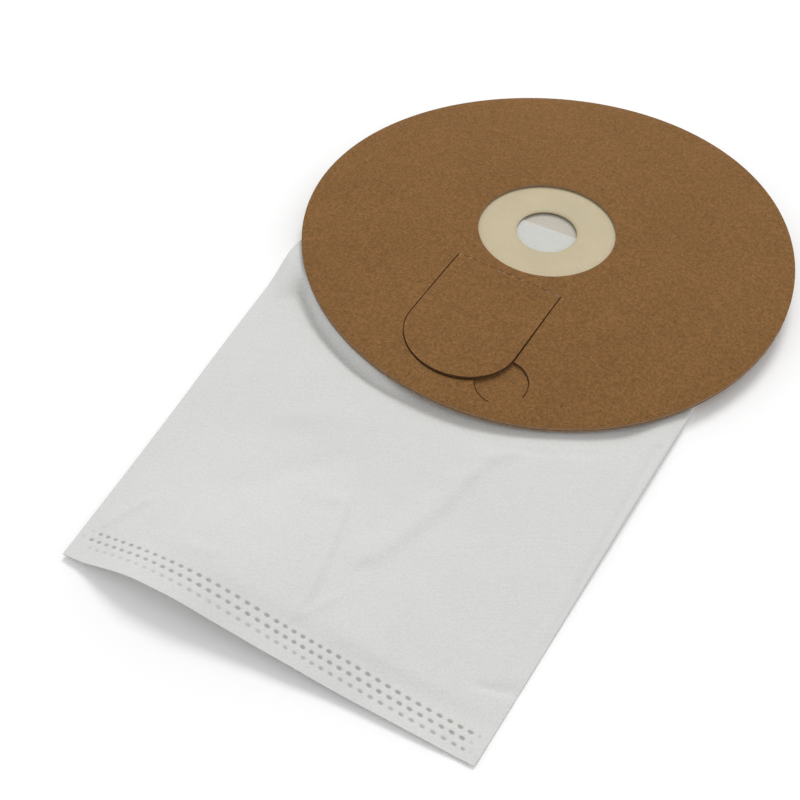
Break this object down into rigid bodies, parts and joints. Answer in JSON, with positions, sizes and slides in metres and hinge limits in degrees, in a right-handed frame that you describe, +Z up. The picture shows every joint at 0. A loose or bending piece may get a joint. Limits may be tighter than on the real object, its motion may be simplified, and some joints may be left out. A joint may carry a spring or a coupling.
{
  "type": "vacuum dust bag",
  "caption": "Flat side-gusseted non-woven dust bag with a welded hem and a round kraft-board collar that holds a rubber hose seal and a die-cut closing flap.",
  "frame": {"origin": "on the table, under the middle of the part's outline", "axes": "+Y along the bag, from its welded hem towards the collar; +Z up, out of the collar's opening"},
  "size_m": [0.2698, 0.4249, 0.0179],
  "materials": {
    "kraft_board": "matt kraft board with fine dark specks",
    "kraft_board_back": "matt kraft board",
    "cream_rubber": "smooth satin rubber sheet",
    "non_woven_cloth": "white calendered non-woven cloth"
  },
  "bodies": {
    "root": {"front_board": "kraft_board", "back_board": "kraft_board_back", "rubber_seal": "cream_rubber", "filter_bag": "non_woven_cloth"}
  },
  "joints": []
}
